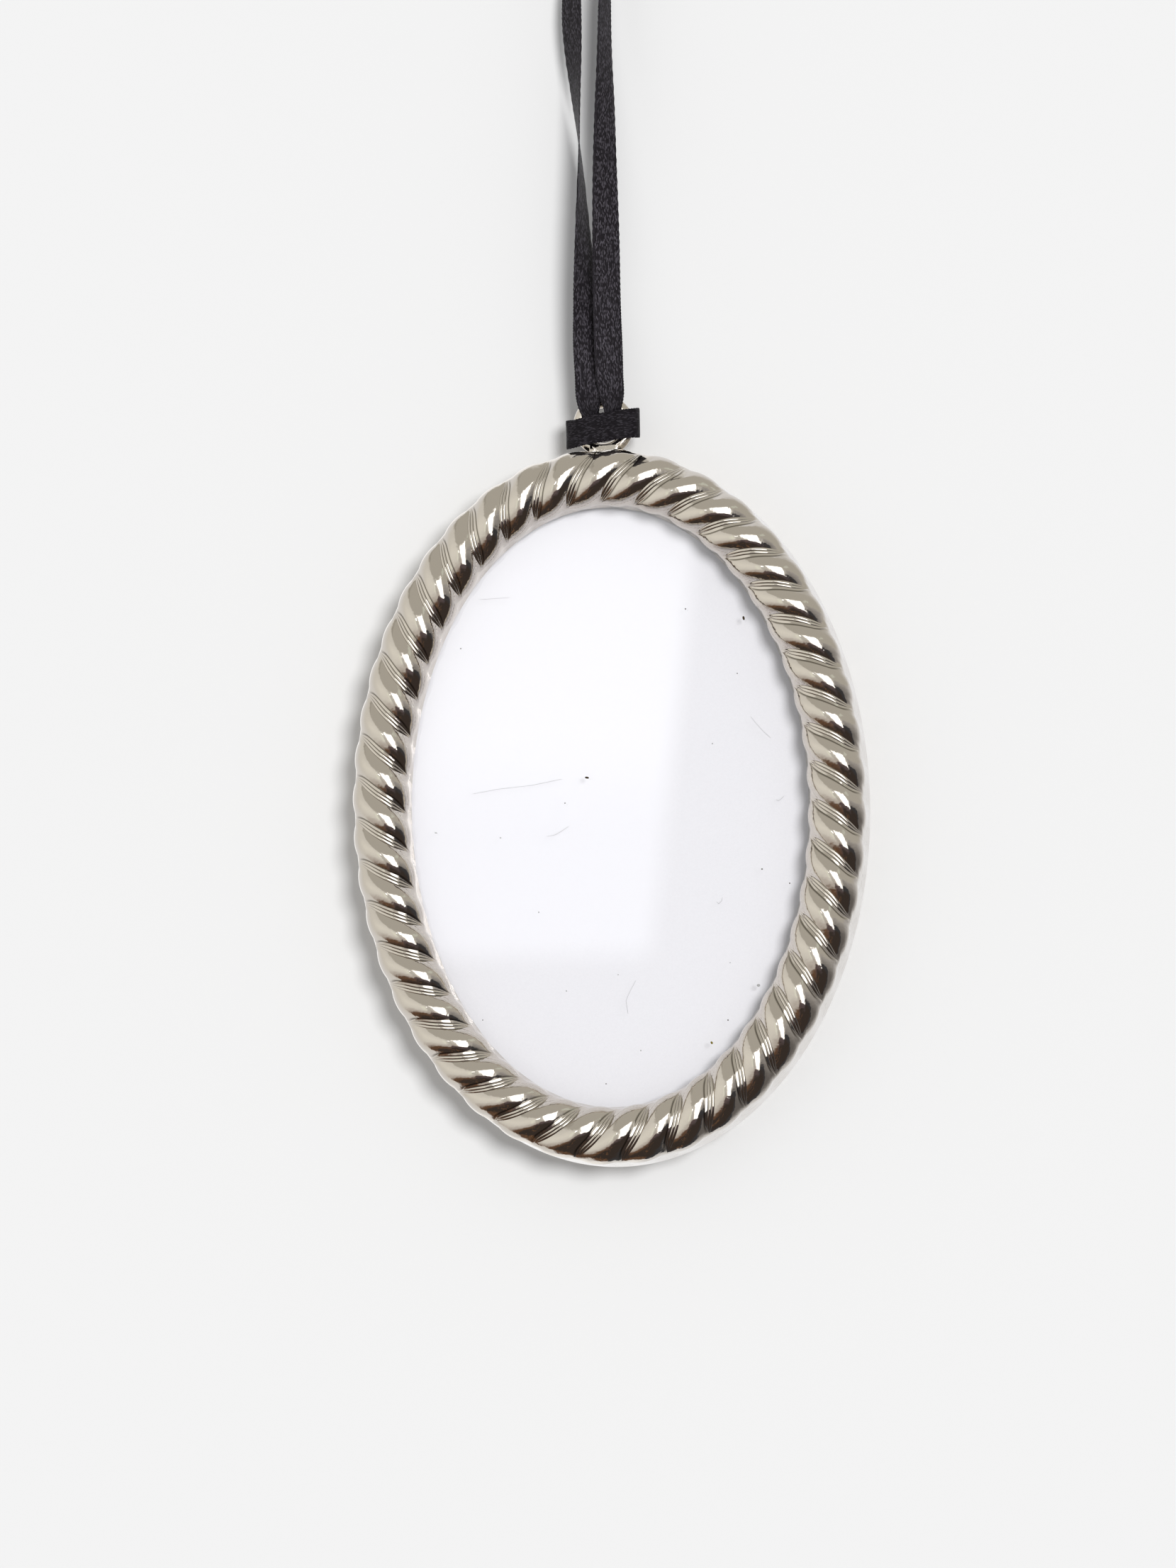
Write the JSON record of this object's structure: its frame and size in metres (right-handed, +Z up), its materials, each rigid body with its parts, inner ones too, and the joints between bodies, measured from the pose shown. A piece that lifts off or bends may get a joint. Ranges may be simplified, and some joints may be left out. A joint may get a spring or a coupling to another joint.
{
  "type": "hanging picture frame",
  "caption": "Small oval picture frame: a rope-twist metal casting with an eye holds glass, card and a board under turn clips, and hangs by a hitched satin ribbon loop.",
  "frame": {"origin": "the hang point: the inside of the top of the ribbon's loop, where it bears on its hook", "axes": "+Z up, the frame faces -Y and the wall is at +Y, +X to the right as seen from the front"},
  "size_m": [0.0574, 0.0083, 0.144],
  "materials": {
    "nickel_casting": "die-cast zinc with bright nickel plate",
    "clear_glass": "polished, with a little dust",
    "white_card": "smooth uncoated card",
    "board_cloth": "flocked cloth on a hardboard core",
    "clip_steel": "blanked sheet steel",
    "rivet_steel": "nickel-plated steel",
    "black_satin": "woven satin"
  },
  "bodies": {
    "frame": {"frame_casting": "nickel_casting", "glass": "clear_glass", "card": "white_card", "back_board": "board_cloth", "rivet_1": "rivet_steel", "rivet_2": "rivet_steel", "rivet_3": "rivet_steel", "rivet_4": "rivet_steel", "ribbon": "black_satin"},
    "turn_clip_1": {"clip_1": "clip_steel"},
    "turn_clip_2": {"clip_2": "clip_steel"},
    "turn_clip_3": {"clip_3": "clip_steel"},
    "turn_clip_4": {"clip_4": "clip_steel"}
  },
  "joints": [
    {"name": "clip_1_turn", "type": "hinge", "parent": "frame", "child": "turn_clip_1", "pos_m": [0.01945, 0.003, -0.08022], "axis": [0, 1, 0], "range_deg": [-90, 90]},
    {"name": "clip_2_turn", "type": "hinge", "parent": "frame", "child": "turn_clip_2", "pos_m": [0.01945, 0.003, -0.12738], "axis": [0, 1, 0], "range_deg": [-90, 90]},
    {"name": "clip_3_turn", "type": "hinge", "parent": "frame", "child": "turn_clip_3", "pos_m": [-0.01945, 0.003, -0.12738], "axis": [0, 1, 0], "range_deg": [-90, 90]},
    {"name": "clip_4_turn", "type": "hinge", "parent": "frame", "child": "turn_clip_4", "pos_m": [-0.01945, 0.003, -0.08022], "axis": [0, 1, 0], "range_deg": [-90, 90]}
  ]
}
